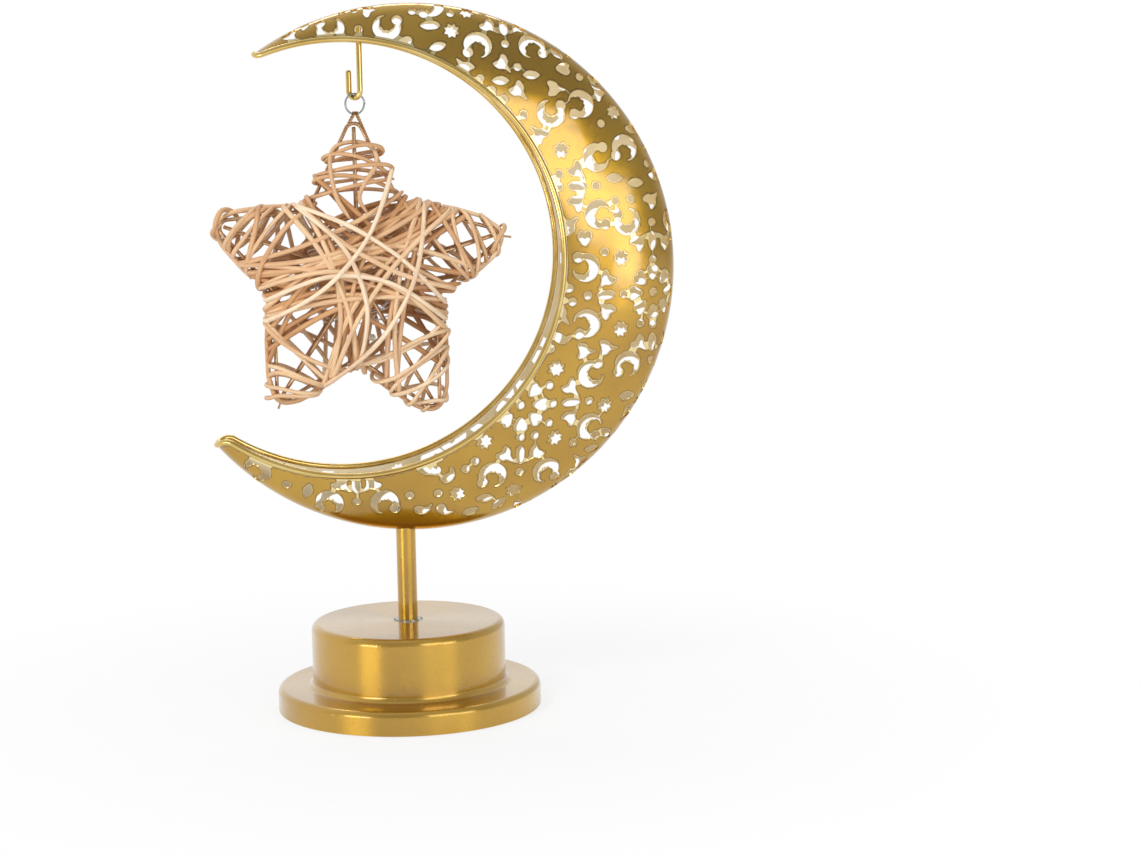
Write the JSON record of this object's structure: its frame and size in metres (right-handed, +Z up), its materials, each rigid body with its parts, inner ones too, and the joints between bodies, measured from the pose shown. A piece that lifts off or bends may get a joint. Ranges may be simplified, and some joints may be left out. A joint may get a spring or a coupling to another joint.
{
  "type": "crescent moon table ornament",
  "caption": "Crescent moon of pierced sheet on a post and a stepped round base, with a wound rattan star that hangs from a hook in its mouth.",
  "frame": {"origin": "centre of the foam foot's underside, where it meets the table", "axes": "+Z up, +X to the right and -Y towards a viewer who faces the open mouth on the left"},
  "size_m": [0.1976, 0.1132, 0.3],
  "materials": {
    "gold_sheet": "polished gold-coloured plating",
    "gold_bright": "bright gold-coloured plating",
    "gold_satin": "satin gold-coloured plating",
    "zinc": "bright zinc plating",
    "steel": "plain steel",
    "nickel": "nickel plating",
    "iron_wire": "annealed wire",
    "silver_wire": "silvered copper wire",
    "bead_resin": "clear resin",
    "rattan": "smooth peeled rattan",
    "black_plastic": "matte moulded",
    "white_plastic": "matte moulded",
    "black_foam": "closed-cell foam",
    "cell_wrap": "plain sleeve"
  },
  "bodies": {
    "stand": {"base_cover": "gold_satin", "base_plate": "black_plastic", "plate_bosses": "steel", "plate_screws": "steel", "foot_ring": "black_foam", "battery_cells": "cell_wrap", "contact_springs": "nickel", "contact_plates": "nickel", "switch_body": "black_plastic", "post": "gold_satin", "threaded_tube": "zinc", "base_nut": "zinc", "base_washer": "zinc", "post_washer": "zinc", "crescent_washer": "zinc", "crescent_nut": "zinc", "crescent_front": "gold_sheet", "crescent_rear": "gold_sheet", "rim_wire": "gold_bright", "hook": "gold_bright"},
    "door": {"battery_door": "black_plastic"},
    "slider": {"switch_slider": "white_plastic"},
    "ring": {"hanger_ring": "nickel"},
    "star": {"star_ties": "iron_wire", "star_frame": "iron_wire", "rattan_winding": "rattan", "led_wire": "silver_wire", "led_beads": "bead_resin"}
  },
  "joints": [
    {"name": "ring_swing", "type": "hinge", "parent": "stand", "child": "ring", "pos_m": [-0.0164, 0, 0.261], "axis": [-0.7547, 0.6561, 0], "range_deg": [-8, 8]},
    {"name": "star_swing", "type": "hinge", "parent": "ring", "child": "star", "pos_m": [-0.0164, 0, 0.25416], "axis": [0.9397, 0.342, 0], "range_deg": [-15, 15]},
    {"name": "door_open", "type": "hinge", "parent": "stand", "child": "door", "pos_m": [0, -0.0287, 0.00285], "axis": [1, 0, 0], "range_deg": [-25, 0]},
    {"name": "switch_slide", "type": "slide", "parent": "stand", "child": "slider", "axis": [1, 0, 0], "range_m": [-0.0015, 0.0015]}
  ]
}
